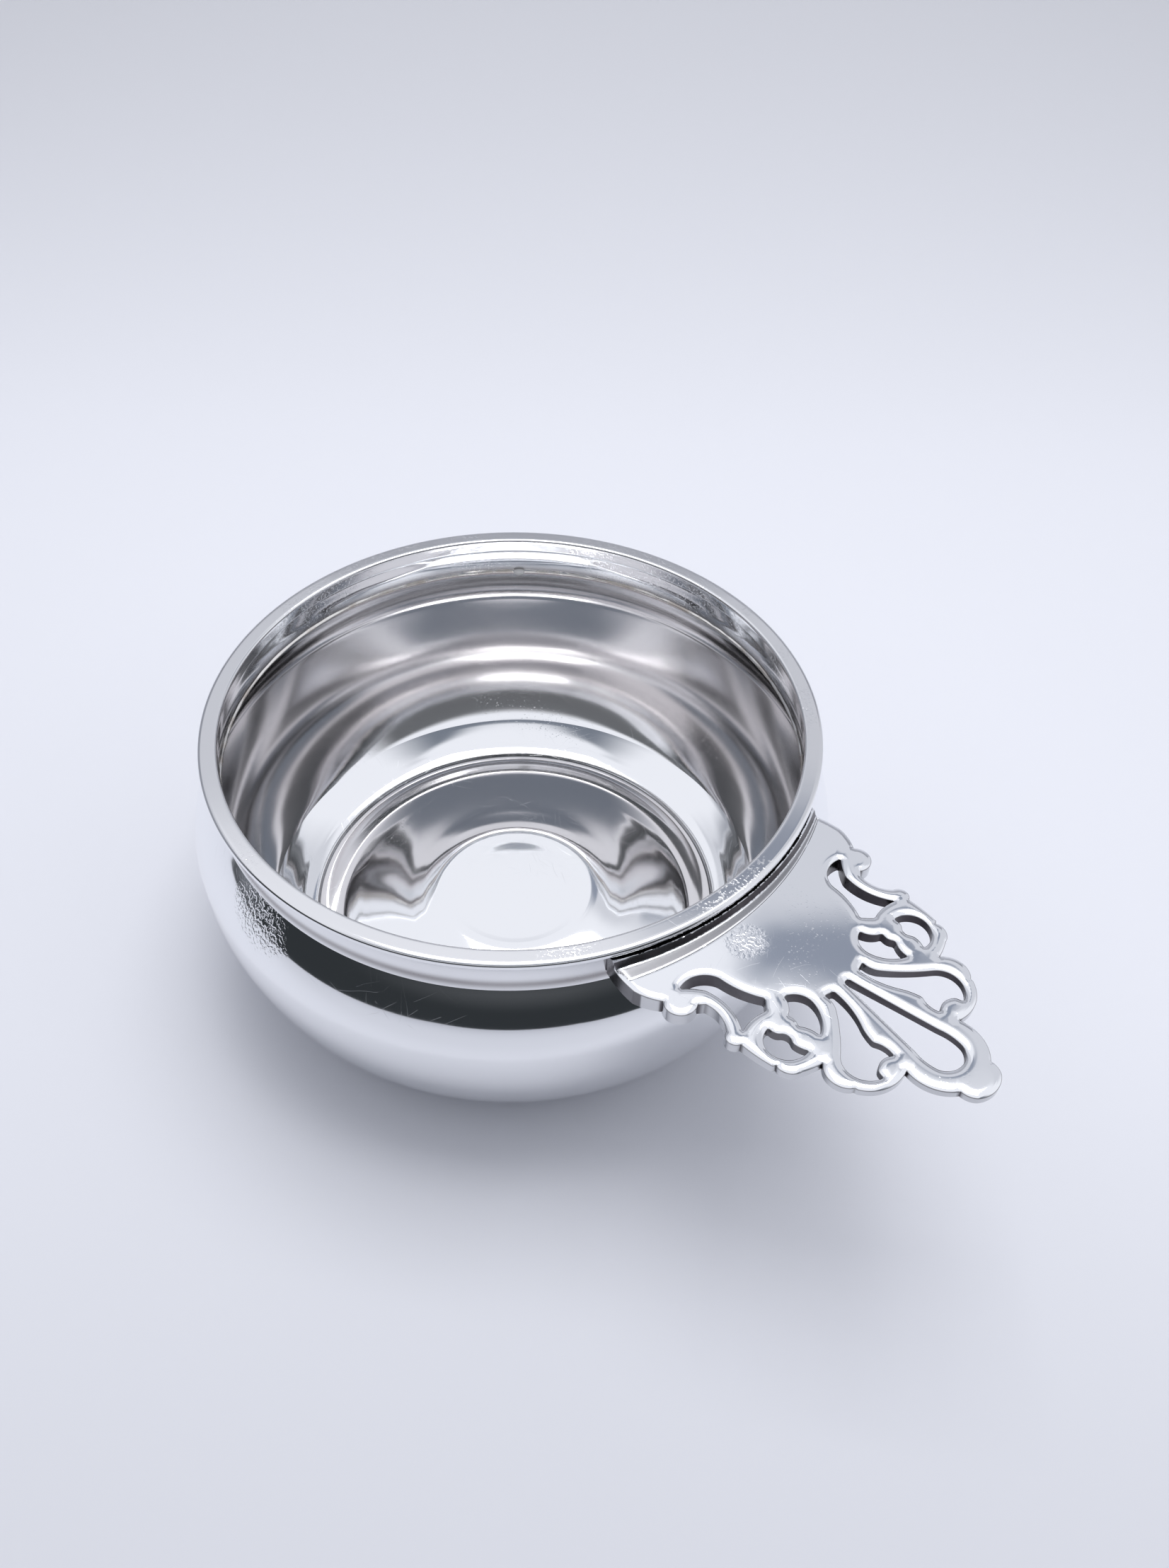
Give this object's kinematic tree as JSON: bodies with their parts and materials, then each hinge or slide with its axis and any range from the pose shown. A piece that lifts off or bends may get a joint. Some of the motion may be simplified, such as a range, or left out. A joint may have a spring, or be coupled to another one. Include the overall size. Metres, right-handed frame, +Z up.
{
  "type": "porringer",
  "caption": "Round bellied silver bowl with a hollow neck, flat moulded rim and one flat pierced handle of symmetrical scrolls set level just under the rim.",
  "frame": {"origin": "middle of the box that holds the whole object, at the table: the bowl's own axis is 22.8 mm from it towards -X, because the handle reaches further than the belly does", "axes": "+Z up, +X along the handle from the bowl to its tip"},
  "size_m": [0.1674, 0.1218, 0.055],
  "materials": {
    "polished_silver": "raised silver sheet, polished bright, with fine rubbing scratches and a faint hammered unevenness",
    "rim_silver": "polished silver moulding with small dents and worn specks along its flat top",
    "cast_silver": "cast silver filed flat and polished, with soft worn edges, scratches and small pits",
    "silver_solder": "dull silver solder, slightly uneven"
  },
  "bodies": {
    "root": {"bowl_body": "polished_silver", "moulded_rim": "rim_silver", "seam_solder": "silver_solder", "handle": "cast_silver", "handle_solder": "silver_solder"}
  },
  "joints": []
}
